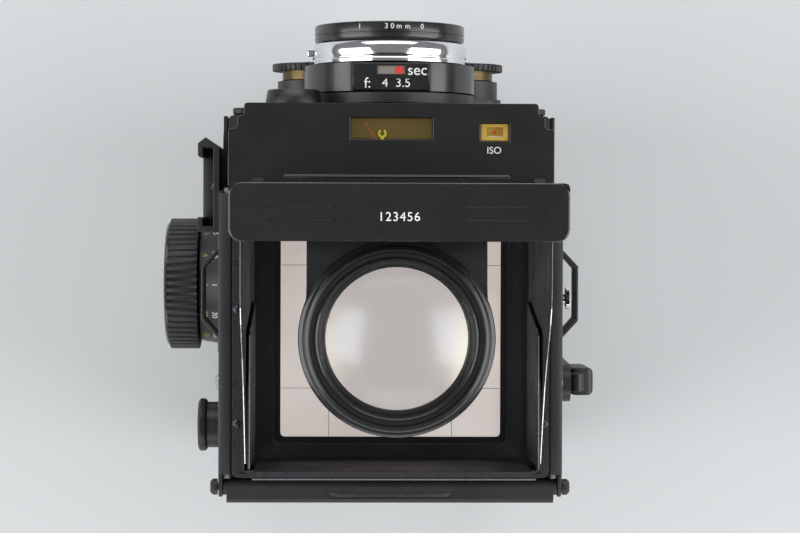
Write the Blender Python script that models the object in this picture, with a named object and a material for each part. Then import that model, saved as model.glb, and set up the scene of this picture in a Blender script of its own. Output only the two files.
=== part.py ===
"""A twin lens reflex camera with its hood open, as separate pieces.

Every size below is in millimetres and meshes are made in metres. The lenses look along -Y, the film
door is at +Y, the focusing knob is at +X and the winding crank at -X. The origin is on the plane that
the camera stands on, on its centre plane and half way between the filter's rim and the film door.
"""

import math

import bmesh
import bpy
from mathutils import Vector

MM = 0.001
GAP = 0.3

# Body shell
CASTING_HALF_W = 37.8
CASTING_FRONT = -33.9
CASTING_REAR = 50.2
CASTING_BOTTOM = 3.4
SHOULDER_Z = 134.0
HOOD_SEAT_Z = 128.6
HOOD_SEAT_HALF_W = 36.15
NAMEPLATE_REAR = -16.8
NAMEPLATE_FRONT = -35.65
NAMEPLATE_BOTTOM = 112.0
SIDE_PLATE_IN = 38.1
SIDE_PLATE_OUT = 38.95
SKIN_GAP = 0.1
SKIN_T = 0.4

# Optics
VIEWING_Z = 107.0
TAKING_Z = 64.0
SCREEN_Y = 15.04
SCREEN_HALF = 25.0
MIRROR_RISE = VIEWING_Z - SCREEN_Y
LOBE_R = 20.2
BAYONET_R = 18.2
FILTER_R = 17.7
WHEEL_X = 19.0
WHEEL_Z = 85.5
WHEEL_R = 9.3

# Film path
FILM_HALF = 28.0
SPOOL_R = 12.0
UPPER_SPOOL = (39.3, 107.5)
LOWER_SPOOL = (-4.0, 18.5)
SPOOL_HALF_W = 32.0

# Film door
DOOR_HALF_W = 37.15
DOOR_REAR = 55.05
DOOR_HINGE = (51.5, 130.4)
DOOR_BASE = (0.8, 2.9)
SOCKET_Y = 16.0
SOCKET_R = 3.2

# Controls and fittings
RELEASE_AT = (-27.0, 20.0)
RELEASE_REAR = -30.0
RELEASE_TRAVEL = 2.5
SHOE_Y = (-27.6, -6.4)
FOCUS_AXIS = (6.8, 69.0)
FOCUS_R = 16.45
CRANK_AXIS = (30.5, 62.0)
CRANK_PLATE_R = 18.8

# Meter
NEEDLE_PIVOT = (-1.0, -20.5)
POINTER_PIVOT = (2.0, -18.6)

# Hood
HOOD_HALF_W = 35.85
WELL_HALF_W = 32.9
WELL_FLOOR = 131.4
RIM_TOP = 137.0
LID_HINGE = (-14.4, 145.0)
LID_HALF_W = 33.25
LID_FRONT = -16.28
LID_T = 1.0
LID_TOP = 208.0
LIP_REAR = -4.84
MAGNIFIER_PIVOT = (-12.7, 189.0)
MAGNIFIER_Y = 14.9
MAGNIFIER_R = 20.0
REAR_PIVOT = (45.35, 133.6)
SIDE_PIVOT_X = 31.65
SIDE_PIVOT_Z = {1: 135.7, -1: 137.9}
FLAP_PIVOT = (-15.2, 183.0)


def clear_scene():
    for obj in list(bpy.data.objects):
        bpy.data.objects.remove(obj, do_unlink=True)
    for mesh in list(bpy.data.meshes):
        bpy.data.meshes.remove(mesh)


def finish(name, color, roughness, metallic=0.0):
    """A plain Principled material."""
    made = bpy.data.materials.new(name)
    made.use_nodes = True
    shader = made.node_tree.nodes["Principled BSDF"]
    shader.inputs["Base Color"].default_value = (*color, 1.0)
    shader.inputs["Roughness"].default_value = roughness
    shader.inputs["Metallic"].default_value = metallic
    return made


FINISHES = {
    "gloss_black": ((0.012, 0.012, 0.013), 0.25, 0.0),
    "satin_black": ((0.018, 0.018, 0.02), 0.5, 0.0),
    "crinkle_black": ((0.014, 0.014, 0.015), 0.7, 0.0),
    "leather": ((0.02, 0.02, 0.02), 0.8, 0.0),
    "chrome": ((0.8, 0.8, 0.82), 0.12, 1.0),
    "steel": ((0.55, 0.55, 0.56), 0.3, 1.0),
    "glass": ((0.8, 0.85, 0.85), 0.05, 0.0),
    "screen": ((0.75, 0.7, 0.68), 0.6, 0.0),
    "mirror": ((0.9, 0.9, 0.9), 0.03, 1.0),
    "amber": ((0.25, 0.17, 0.04), 0.4, 0.0),
    "red": ((0.6, 0.05, 0.03), 0.5, 0.0),
    "yellow": ((0.75, 0.75, 0.05), 0.5, 0.0),
}


# Solids. Each returns a bmesh in millimetres, closed, with its faces pointing out.


def block(x0, x1, y0, y1, z0, z1, bevel=0.0, along="xyz", segments=1):
    """A box, with the edges that run along the named axes bevelled."""
    bm = bmesh.new()
    bmesh.ops.create_cube(bm, size=1.0)
    size = Vector((x1 - x0, y1 - y0, z1 - z0))
    centre = Vector((x0 + x1, y0 + y1, z0 + z1)) / 2
    bmesh.ops.scale(bm, vec=size, verts=bm.verts)
    bmesh.ops.translate(bm, vec=centre, verts=bm.verts)
    if bevel:
        axes = ["xyz".index(letter) for letter in along]
        edges = []
        for edge in bm.edges:
            run = edge.verts[1].co - edge.verts[0].co
            if max(range(3), key=lambda i: abs(run[i])) in axes:
                edges.append(edge)
        bmesh.ops.bevel(
            bm, geom=edges, offset=bevel, segments=segments, profile=0.5, affect="EDGES"
        )
    return bm


def prism(outline, axis, low, high):
    """An outline extruded along an axis. Its points are (y, z), (x, z) or (x, y)."""
    place = {
        "x": lambda a, b, h: (h, a, b),
        "y": lambda a, b, h: (a, h, b),
        "z": lambda a, b, h: (a, b, h),
    }[axis]
    bm = bmesh.new()
    ends = []
    for height in (low, high):
        ends.append([bm.verts.new(place(a, b, height)) for a, b in outline])
    count = len(outline)
    bm.faces.new(ends[0])
    bm.faces.new(ends[1])
    for i in range(count):
        j = (i + 1) % count
        bm.faces.new((ends[0][i], ends[0][j], ends[1][j], ends[1][i]))
    bmesh.ops.recalc_face_normals(bm, faces=bm.faces)
    return bm


def turned(profile, axis, centre, segments=28):
    """A closed profile of (radius, along) points turned round an axis through centre."""
    place = {
        "x": lambda a, b, h: (h, centre[0] + a, centre[1] + b),
        "y": lambda a, b, h: (centre[0] + a, h, centre[1] + b),
        "z": lambda a, b, h: (centre[0] + a, centre[1] + b, h),
    }[axis]
    bm = bmesh.new()
    rings = []
    for radius, height in profile:
        if radius == 0:
            rings.append([bm.verts.new(place(0, 0, height))])
            continue
        ring = []
        for i in range(segments):
            angle = 2 * math.pi * i / segments
            ring.append(bm.verts.new(place(radius * math.cos(angle), radius * math.sin(angle), height)))
        rings.append(ring)
    count = len(rings)
    for k in range(count):
        one = rings[k]
        two = rings[(k + 1) % count]
        if len(one) == 1 and len(two) == 1:
            continue
        for i in range(segments):
            j = (i + 1) % segments
            if len(one) == 1:
                bm.faces.new((one[0], two[i], two[j]))
            elif len(two) == 1:
                bm.faces.new((one[i], one[j], two[0]))
            else:
                bm.faces.new((one[i], one[j], two[j], two[i]))
    bmesh.ops.recalc_face_normals(bm, faces=bm.faces)
    return bm


def rod(radius, low, high, axis, centre, segments=20):
    """A plain round bar."""
    return turned([(0, low), (radius, low), (radius, high), (0, high)], axis, centre, segments)


def tube(inner, outer, low, high, axis, centre, segments=28):
    """A plain round tube."""
    profile = [(inner, low), (outer, low), (outer, high), (inner, high)]
    return turned(profile, axis, centre, segments)


def arc(centre, radius, start, end, steps):
    """Points along an arc, with its angles in degrees."""
    points = []
    for i in range(steps + 1):
        angle = math.radians(start + (end - start) * i / steps)
        points.append((centre[0] + radius * math.cos(angle), centre[1] + radius * math.sin(angle)))
    return points


def rounded(a0, a1, b0, b1, radius, steps=4):
    """The outline of a rectangle with round corners."""
    points = arc((a1 - radius, b0 + radius), radius, -90, 0, steps)
    points += arc((a1 - radius, b1 - radius), radius, 0, 90, steps)
    points += arc((a0 + radius, b1 - radius), radius, 90, 180, steps)
    points += arc((a0 + radius, b0 + radius), radius, 180, 270, steps)
    return points


def toothed(centre, outer, inner, teeth):
    """The outline of a ribbed knob: flat ribs with flat gaps between them."""
    points = []
    for i in range(teeth):
        for part, radius in ((0.0, outer), (0.5, outer), (0.6, inner), (0.9, inner)):
            angle = 2 * math.pi * (i + part) / teeth
            points.append((centre[0] + radius * math.cos(angle), centre[1] + radius * math.sin(angle)))
    return points


# Objects


def node(name, bm, material, pivot=(0.0, 0.0, 0.0)):
    """An object whose origin is at pivot, with its faces shaded smooth between sharp edges."""
    mesh = bpy.data.meshes.new(name)
    bmesh.ops.translate(bm, vec=-Vector(pivot), verts=bm.verts)
    bmesh.ops.scale(bm, vec=(MM, MM, MM), verts=bm.verts)
    bm.to_mesh(mesh)
    bm.free()
    mesh.shade_smooth()
    mesh.set_sharp_from_angle(angle=math.radians(35))
    mesh.materials.append(finish(name, *FINISHES[material]))
    obj = bpy.data.objects.new(name, mesh)
    obj.location = Vector(pivot) * MM
    bpy.context.scene.collection.objects.link(obj)
    return obj


def tool(obj, bm, operation):
    """Adds or removes a solid with a Boolean modifier. The tool itself is only a guide."""
    name = f"{obj.name}.{operation.lower()}.{len(obj.modifiers)}"
    mesh = bpy.data.meshes.new(name)
    bmesh.ops.scale(bm, vec=(MM, MM, MM), verts=bm.verts)
    bm.to_mesh(mesh)
    bm.free()
    helper = bpy.data.objects.new(name, mesh)
    helper.hide_render = True
    helper.display_type = "WIRE"
    bpy.context.scene.collection.objects.link(helper)
    modifier = obj.modifiers.new(name, "BOOLEAN")
    modifier.operation = operation
    modifier.solver = "EXACT"
    modifier.object = helper
    return obj


def cut(obj, *solids):
    for bm in solids:
        tool(obj, bm, "DIFFERENCE")
    return obj


def add(obj, *solids):
    for bm in solids:
        tool(obj, bm, "UNION")
    return obj


# Body shell


def body_casting():
    casting = node(
        "body_casting",
        block(
            -CASTING_HALF_W, CASTING_HALF_W, CASTING_FRONT, CASTING_REAR,
            CASTING_BOTTOM, SHOULDER_Z, bevel=1.2, along="yz", segments=2,
        ),
        "satin_black",
    )
    wide = CASTING_HALF_W + 3
    # Seats of the meter housing, the hood and the door's hinge
    cut(
        casting,
        block(-wide, wide, CASTING_FRONT - 5, NAMEPLATE_REAR + 0.4, NAMEPLATE_BOTTOM - 0.4, SHOULDER_Z + 5),
        block(-HOOD_SEAT_HALF_W, HOOD_SEAT_HALF_W, -20, CASTING_REAR + 5, HOOD_SEAT_Z, SHOULDER_Z + 5),
        block(-wide, wide, 49.3, CASTING_REAR + 5, 128.2, SHOULDER_Z + 5),
    )
    # Mirror chamber, with a sloping ledge under the mirror
    ledge = MIRROR_RISE - 2.3 * math.sqrt(2)
    chamber = [
        (-5.0, ledge - 5.0), (39.9, ledge + 39.9), (39.9, 140.0),
        (-9.8, 140.0), (-9.8, 104.0), (-5.0, 99.0),
    ]
    cut(casting, prism(chamber, "x", -24.8, 24.8))
    cut(casting, rod(15.0, CASTING_FRONT - 5, -3.5, "y", (0, VIEWING_Z), 20))
    # Light tunnel from the taking lens to the film gate
    tunnel = bmesh.new()
    rings = []
    for y, half in ((CASTING_FRONT - 1, 11.0), (47.0, FILM_HALF), (CASTING_REAR + 1, FILM_HALF)):
        corners = ((-half, -half), (half, -half), (half, half), (-half, half))
        rings.append([tunnel.verts.new((x, y, TAKING_Z + z)) for x, z in corners])
    tunnel.faces.new(rings[0])
    tunnel.faces.new(rings[2])
    for one, two in zip(rings, rings[1:]):
        for i in range(4):
            j = (i + 1) % 4
            tunnel.faces.new((one[i], one[j], two[j], two[i]))
    bmesh.ops.recalc_face_normals(tunnel, faces=tunnel.faces)
    cut(casting, tunnel)
    # Spool chambers: the upper one opens to the rear, the lower one to the rear and the base
    cut(
        casting,
        block(-33.5, 33.5, 26.7, CASTING_REAR + 5, 94.9, 120.1),
        block(-33.5, 33.5, -16.6, CASTING_REAR + 5, CASTING_BOTTOM - 5, 33.0),
    )
    # Holes for the release's plunger and the spool knobs' shafts
    cut(casting, rod(4.8, CASTING_FRONT - 5, RELEASE_REAR + RELEASE_TRAVEL + 1.0, "y", RELEASE_AT, 16))
    for y, z in (UPPER_SPOOL, LOWER_SPOOL):
        cut(casting, rod(3.0, 30.0, CASTING_HALF_W + 5, "x", (y, z), 20))
    return casting


def side_plate(side, name):
    """A sheet over each side, with an ear at its top rear corner for the door's hinge."""
    y, z = DOOR_HINGE
    outline = [
        (-33.6, 4.2), (-31.6, 3.8), (47.8, 3.8), (49.8, 5.8), (49.8, 124.0),
    ]
    outline += arc((y, z), 2.3, -75, 95, 8)
    outline += [(48.6, 133.2), (-15.6, 133.2), (-16.6, 111.6), (-33.6, 111.6)]
    edges = sorted((side * SIDE_PLATE_IN, side * SIDE_PLATE_OUT))
    plate = node(name, prism(outline, "x", *edges), "gloss_black")
    cut(plate, rod(1.1, min(edges) - 1, max(edges) + 1, "x", DOOR_HINGE, 16))
    if side > 0:
        for centre in (UPPER_SPOOL, LOWER_SPOOL):
            cut(plate, rod(3.0, min(edges) - 1, max(edges) + 1, "x", centre, 20))
    return plate


def grip(side, name, openings):
    """The leather on a side plate. Each opening is a solid that runs through it."""
    low = SIDE_PLATE_OUT + SKIN_GAP
    edges = sorted((side * low, side * (low + SKIN_T)))
    skin = node(name, prism(rounded(-30.5, 46.5, 8.0, 104.0, 3.0), "x", *edges), "leather")
    cut(skin, *openings)
    return skin


def through(side, shape):
    """Calls shape with a span along X that runs through the leather of one side."""
    edges = sorted((side * (SIDE_PLATE_OUT - 0.05), side * (SIDE_PLATE_OUT + 3)))
    return shape(*edges)


def shell():
    body_casting()
    side_plate(1, "side_plate_left")
    side_plate(-1, "side_plate_right")
    grip(
        1, "grip_left",
        [
            through(1, lambda a, b: rod(7.2, a, b, "x", UPPER_SPOOL, 16)),
            through(1, lambda a, b: rod(17.4, a, b, "x", FOCUS_AXIS, 28)),
            through(1, lambda a, b: rod(7.2, a, b, "x", LOWER_SPOOL, 16)),
        ],
    )
    grip(
        -1, "grip_right",
        [through(-1, lambda a, b: rod(CRANK_PLATE_R + 0.5, a, b, "x", CRANK_AXIS, 28))],
    )
    head = SIDE_PLATE_OUT + GAP
    profile = [
        (0, -head - 1.6), (1.3, -head - 1.6), (1.85, -head - 1.0), (1.85, -head), (0.8, -head),
        (0.8, head), (1.85, head), (1.85, head + 1.0), (1.3, head + 1.6), (0, head + 1.6),
    ]
    node("hinge_rod", turned(profile, "x", DOOR_HINGE, 16), "steel")
    front = node(
        "front_plate",
        prism(rounded(-36.9, 36.9, 4.0, 111.5, 2.5), "y", -35.6, -34.2),
        "satin_black",
    )
    cut(
        front,
        rod(16.0, -40, -30, "y", (0, VIEWING_Z), 24),
        rod(13.0, -40, -30, "y", (0, TAKING_Z), 24),
        rod(4.6, -40, -30, "y", RELEASE_AT, 16),
    )
    # Flash socket
    add(front, tube(1.2, 2.7, -38.4, -35.0, "y", (29.0, 24.0), 12))


def optics_inside():
    """Reflex mirror, focusing screen and the frame that holds the screen down."""
    low = (-3.6, MIRROR_RISE - 3.6)
    high = (35.4, MIRROR_RISE + 35.4)
    back = 1.9 / math.sqrt(2)
    outline = [low, (low[0] + back, low[1] - back), (high[0] + back, high[1] - back), high]
    node("reflex_mirror", prism(outline, "x", -24.2, 24.2), "mirror")
    half = SCREEN_HALF + 0.9
    node(
        "focusing_screen",
        block(-half, half, SCREEN_Y - half, SCREEN_Y + half, 128.9, 130.3, bevel=0.2),
        "screen",
    )
    outer = SCREEN_HALF + 1.3
    frame = node(
        "screen_frame",
        prism(rounded(-outer, outer, SCREEN_Y - outer, SCREEN_Y + outer, 1.5), "z", 130.6, 131.1),
        "satin_black",
    )
    opening = rounded(
        -SCREEN_HALF, SCREEN_HALF, SCREEN_Y - SCREEN_HALF, SCREEN_Y + SCREEN_HALF, 1.0
    )
    cut(frame, prism(opening, "z", 130, 132))


# Meter housing


def meter():
    outline = [(-36.9, NAMEPLATE_REAR), (-36.9, -29.85), (-34.8, -29.85), (-34.8, -32.75)]
    outline += [(-33.3, -32.75), (-33.3, NAMEPLATE_FRONT)]
    outline += [(-x, y) for x, y in reversed(outline)]
    shape = prism(outline, "z", NAMEPLATE_BOTTOM, SHOULDER_Z - 0.2)
    uprights = [
        e for e in shape.edges
        if abs(e.verts[0].co.z - e.verts[1].co.z) > 1 and e.verts[0].co.y < -20
    ]
    bmesh.ops.bevel(shape, geom=uprights, offset=0.7, segments=2, profile=0.5, affect="EDGES")
    housing = node("nameplate_housing", shape, "gloss_black")
    cut(
        housing,
        block(-31.0, 31.0, -33.5, -10.0, 105.0, 130.9),
        block(-9.3, 9.3, -32.35, -27.5, 120, 140),
        block(-26.7, -20.1, -31.25, -27.1, 120, 140),
        rod(14.0, -37, -30, "y", (0, VIEWING_Z), 20),
    )
    node("meter_window", block(-9.1, 9.1, -32.15, -27.7, 131.6, 133.2), "glass")
    speed = node("film_speed_window", block(-26.5, -20.3, -31.05, -27.3, 129.0, 133.0), "amber")
    cut(speed, block(-25.3, -21.5, -30.3, -28.1, 131.2, 135))
    # Needle, slanted across the window, over the ring-shaped pointer
    needle = node("meter_needle", rod(1.6, 129.4, 130.6, "z", (0, 0), 12), "red")
    needle.location = Vector((NEEDLE_PIVOT[0], NEEDLE_PIVOT[1], 0)) * MM
    start = Vector(NEEDLE_PIVOT)
    run = Vector((5.9, -31.4)) - start
    side = Vector((-run.y, run.x)).normalized() * 0.3
    tip = start + run
    bar = [start + side, start - side, tip - side, tip + side]
    add(needle, prism([tuple(p) for p in bar], "z", 129.6, 130.2))
    pointer = node("meter_pointer", rod(1.5, 127.8, 129.1, "z", (0, 0), 12), "yellow")
    x, y = POINTER_PIVOT
    pointer.location = Vector((x, y, 0)) * MM
    add(
        pointer,
        block(x - 0.3, x + 0.3, -28.3, y, 128.2, 128.8),
        tube(0.55, 0.98, 128.1, 128.9, "z", (x, -29.0), 16),
    )
    cut(pointer, block(x - 0.35, x + 0.35, -30.5, -29.2, 127, 130))
    bezel = [
        (0, -36.6), (4.3, -36.6), (4.3, -38.6), (5.4, -39.1), (6.0, -38.9), (6.5, -35.95), (0, -35.95),
    ]
    node("cds_bezel", turned(bezel, "y", (22.3, 123.6), 24), "chrome")


# Lens board


def lens_hole(radius, z):
    return rod(radius, -60, -20, "y", (0, z), 28)


def lens_standard():
    outline = arc((20.5, 46.0), 7.0, -90, 0, 4) + arc((22.5, 92.0), 5.0, 0, 60, 3)
    outline += arc((0, VIEWING_Z), LOBE_R - 0.3, -20, 200, 24)
    outline += arc((-22.5, 92.0), 5.0, 120, 180, 3) + arc((-20.5, 46.0), 7.0, 180, 270, 4)
    board = node("lens_board", prism(outline, "y", -38.6, -36.2), "satin_black")
    for side in (1, -1):
        add(board, rod(8.0, -43.3, -38.0, "y", (side * WHEEL_X, WHEEL_Z), 24))
    cut(board, lens_hole(15.5, VIEWING_Z), lens_hole(12.5, TAKING_Z))
    # Two round lobes, joined by a narrow waist between the wheels
    outline = arc((0, VIEWING_Z), LOBE_R, -57, 237, 26) + arc((0, TAKING_Z), LOBE_R, 123, 417, 22)
    shroud = node("lens_shroud", prism(outline, "y", -45.45, -38.9), "gloss_black")
    cut(shroud, lens_hole(15.5, VIEWING_Z), lens_hole(17.2, TAKING_Z))
    cut(shroud, block(-9.1, 9.1, -50, -30, 125.4, 130))
    panel = node(
        "readout_panel", block(-8.8, 8.8, -45.3, -38.9, 125.7, 127.1, bevel=0.25), "gloss_black"
    )
    cut(
        panel,
        block(-3.2, 3.2, -44.6, -42.6, 126.7, 128),
        block(-5.2, 3.2, -41.6, -39.6, 126.7, 128),
    )
    node(
        "viewing_barrel",
        turned(
            [(12.4, -46.8), (13.6, -47.0), (15.2, -46.4), (15.2, -36.2), (13.4, -36.2), (12.4, -37.4)],
            "y", (0, VIEWING_Z),
        ),
        "satin_black",
    )
    ring = [
        (15.7, -49.6), (16.2, -50.75), (17.5, -50.75), (17.9, -50.4), (BAYONET_R, -49.8),
        (BAYONET_R, -46.4), (17.9, -45.75), (15.7, -45.75),
    ]
    bayonet = node("viewing_bayonet", turned(ring, "y", (0, VIEWING_Z), 32), "chrome")
    add(bayonet, block(18.0, 19.3, -49.4, -47.8, VIEWING_Z + 1.2, VIEWING_Z + 3.2))
    lens = [(0, -44.6), (5.0, -44.0), (9.0, -42.6), (12.1, -40.6), (12.1, -38.0), (0, -38.0)]
    node("viewing_glass", turned(lens, "y", (0, VIEWING_Z)), "glass")
    rim = [
        (14.3, -52.6), (15.2, -54.9), (15.6, -55.05), (FILTER_R - 0.4, -55.05), (FILTER_R, -54.6),
        (FILTER_R, -51.6), (FILTER_R - 0.3, -51.05), (14.3, -51.05),
    ]
    node("filter_ring", turned(rim, "y", (0, VIEWING_Z), 32), "satin_black")
    node(
        "filter_glass",
        turned([(0, -53.3), (14.0, -53.3), (14.0, -51.6), (0, -51.6)], "y", (0, VIEWING_Z)),
        "glass",
    )
    barrel = [
        (11.6, -46.0), (13.5, -48.6), (15.2, -48.8), (16.9, -45.6), (16.9, -38.9), (12.2, -38.9),
        (12.2, -34.5), (10.8, -34.5), (11.6, -38.0),
    ]
    node("taking_barrel", turned(barrel, "y", (0, TAKING_Z)), "satin_black")
    ring = [
        (17.1, -49.6), (17.4, -50.2), (17.9, -50.2), (18.3, -49.6), (18.3, -46.2),
        (18.0, -45.75), (17.1, -45.75),
    ]
    node("taking_bayonet", turned(ring, "y", (0, TAKING_Z)), "chrome")
    lens = [(0, -44.2), (5.0, -43.7), (8.5, -42.6), (11.3, -40.6), (11.3, -38.6), (0, -38.6)]
    node("taking_glass", turned(lens, "y", (0, TAKING_Z)), "glass")
    for side, name in ((1, "shutter_wheel"), (-1, "aperture_wheel")):
        centre = (side * WHEEL_X, WHEEL_Z)
        wheel = node(
            name, prism(toothed((0, 0), WHEEL_R, WHEEL_R - 0.4, 20), "y", -47.5, -45.8),
            "satin_black",
        )
        wheel.location = Vector((centre[0], 0, centre[1])) * MM
        add(wheel, rod(6.8, -46.5, -43.6, "y", centre, 16))
        cut(wheel, turned([(0, -46.9), (5.5, -46.9), (6.5, -49), (0, -49)], "y", centre, 16))
    lever = node(
        "timer_lever",
        block(-1.7, 1.7, -41.4, -39.0, -27.0, -20.7, bevel=0.5),
        "chrome",
    )
    lever.location = Vector((0, 0, TAKING_Z)) * MM
    lever.rotation_euler = (0, math.radians(-38), 0)


# Release, focusing and winding


def release():
    x, z = RELEASE_AT
    profile = [(0, -39.9), (2.6, -39.9), (3.0, -40.4), (3.9, -40.4), (4.2, -39.9)]
    profile += [(4.2, RELEASE_REAR), (0, RELEASE_REAR)]
    button = node("shutter_release", turned(profile, "y", (0, 0), 16), "chrome")
    button.location = Vector((x, 0, z)) * MM
    ring = prism(toothed((0, 0), 6.8, 6.4, 14), "y", -38.4, -35.9)
    collar = node("release_collar", ring, "satin_black")
    collar.location = Vector((x, 0, z)) * MM
    cut(collar, rod(4.7, -45, -30, "y", (x, z), 16))


def focusing():
    y, z = FOCUS_AXIS
    profile = [(0, 39.3), (14.6, 39.3), (15.4, 40.4), (14.2, 46.6), (0, 46.6)]
    scale = node("distance_scale", turned(profile, "x", (0, 0)), "satin_black")
    scale.location = Vector((0, y, z)) * MM
    grip_shape = prism(toothed((0, 0), FOCUS_R, FOCUS_R - 0.5, 28), "x", 46.9, 54.3)
    knob = node("focus_knob", grip_shape, "satin_black")
    knob.location = Vector((0, y, z)) * MM
    face = [(0, 54.0), (15.4, 54.0), (14.8, 55.1), (11.6, 55.1), (11.0, 54.6), (0, 54.6)]
    add(knob, turned(face, "x", (y, z), 24))


def winding():
    y, z = CRANK_AXIS
    low = SIDE_PLATE_OUT + GAP
    plate = [(0, -low), (CRANK_PLATE_R, -low), (CRANK_PLATE_R, -low - 0.9)]
    plate += [(CRANK_PLATE_R - 1.4, -low - 2.0), (10.0, -low - 2.0), (9.6, -low - 1.4), (0, -low - 1.4)]
    node("crank_plate", turned(plate, "x", CRANK_AXIS), "satin_black")
    hub = [(0, -41.0), (8.6, -41.0), (8.6, -44.0), (7.9, -44.7), (0, -44.7)]
    arm = node("crank_arm", turned(hub, "x", (0, 0), 24), "satin_black")
    arm.location = Vector((0, y, z)) * MM
    outline = arc((y, z), 5.5, 180, 360, 10) + arc((y, z + 26.0), 4.6, 0, 180, 8)
    add(arm, prism(outline, "x", -45.0, -42.4))
    grip_shape = block(-3.0, 3.0, -3.4, 3.4, -21.0, -3.4, bevel=1.4, along="yz", segments=3)
    handle = node("crank_handle", grip_shape, "satin_black")
    pivot = (-47.0, y, z + 25.6)
    handle.location = Vector(pivot) * MM
    for v in handle.data.vertices:
        v.co.x -= 1.35 * MM
    add(
        handle,
        rod(1.6, y - 2.2, y + 2.2, "y", (pivot[0], pivot[2]), 16),
        block(-48.5, -46.2, y - 2.2, y + 2.2, pivot[2] - 5.0, pivot[2] - 0.2),
    )
    stud = [(0, -39.3), (1.5, -39.3), (1.5, -41.6), (2.65, -41.9), (2.65, -42.6), (1.6, -43.4), (0, -43.4)]
    selector = node("film_selector", turned(stud, "x", (0, 0), 16), "chrome")
    selector.location = Vector((0, 9.0, 109.5)) * MM
    add(selector, block(-43.2, -42.2, 7.2, 10.8, 109.0, 110.0))


# Film spools and their knobs


def film_spools():
    for place, centre in (("upper", UPPER_SPOOL), ("lower", LOWER_SPOOL)):
        half = SPOOL_HALF_W
        profile = [
            (0, -29.0), (3.0, -29.0), (3.0, -half), (SPOOL_R, -half), (SPOOL_R, -half + 1.0),
            (6.0, -half + 1.0), (6.0, half - 1.0), (SPOOL_R, half - 1.0), (SPOOL_R, half),
            (3.0, half), (3.0, 29.0), (0, 29.0),
        ]
        spool = node(f"film_spool_{place}", turned(profile, "x", (0, 0), 24), "satin_black")
        spool.location = Vector((0, centre[0], centre[1])) * MM
        knob = [
            (0, 29.6), (2.6, 29.6), (2.6, 39.3), (5.4, 39.3), (5.4, 42.9), (6.2, 43.1),
            (6.2, 44.5), (5.8, 44.9), (0, 44.9),
        ]
        made = node(f"spool_knob_{place}", turned(knob, "x", (0, 0), 20), "gloss_black")
        made.location = Vector((0, centre[0], centre[1])) * MM


# Film door, with the base that swings with it


def film_door():
    base_low, base_high = DOOR_BASE
    outline = [(CASTING_FRONT, base_low)]
    outline += arc((DOOR_REAR - 3.2, base_low + 2.8), 2.8, -90, 0, 4)
    outline += [(DOOR_REAR - 0.4, 124.0), (DOOR_REAR, 124.0), (DOOR_REAR, 131.2)]
    outline += [(DOOR_REAR - 0.9, 132.1)]
    outline += arc(DOOR_HINGE, 1.9, 62, 292, 9)
    outline += [(52.3, 127.6), (52.3, base_high), (CASTING_FRONT, base_high)]
    shape = prism(outline, "x", -DOOR_HALF_W, DOOR_HALF_W)
    door = node("door_shell", shape, "satin_black")
    cut(door, rod(1.1, -50, 50, "x", DOOR_HINGE, 16))
    for side in (1, -1):
        for y in (-27.0, 45.0):
            foot = [(0, 0), (2.2, 0), (3.0, 0.5), (3.0, 1.5), (0, 1.5)]
            add(door, turned(foot, "z", (side * 30.0, y), 12))
    # Boss round the tripod bush, with a groove for the latch dial
    add(door, rod(17.0, base_low + 0.5, 6.0, "z", (0, SOCKET_Y), 24))
    cut(
        door,
        tube(7.6, 14.4, -2, 3.3, "z", (0, SOCKET_Y), 28),
        rod(5.9, -2, 8, "z", (0, SOCKET_Y), 20),
    )
    # Shallow plate field on the door's top edge
    field = [(-14.5, 52.6), (-13.5, 54.0), (13.5, 54.0), (14.5, 52.6)]
    cut(door, prism(field, "z", 131.8, 134))
    outline = rounded(-DOOR_HALF_W + 1.0, DOOR_HALF_W - 1.0, 6.0, 123.0, 3.0)
    node("door_leather", prism(outline, "y", DOOR_REAR - 0.3, DOOR_REAR), "leather")
    plate = node(
        "pressure_plate", prism(rounded(-31.5, 31.5, 33.5, 94.5, 2.0), "y", 50.6, 51.4), "satin_black"
    )
    add(plate, block(-18, 18, 51.2, 52.0, 55, 73))
    dial = node("latch_dial", tube(8.0, 14.0, 0.5, 2.9, "z", (0, 0)), "steel")
    dial.location = Vector((0, SOCKET_Y, 0)) * MM
    for side in (1, -1):
        cut(dial, rod(2.2, -1, 1.4, "z", (side * 11.0, SOCKET_Y), 16))
    node("tripod_bush", tube(SOCKET_R, 5.6, 0.5, 6.0, "z", (0, SOCKET_Y), 20), "steel")


# Fittings on the sides


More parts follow.
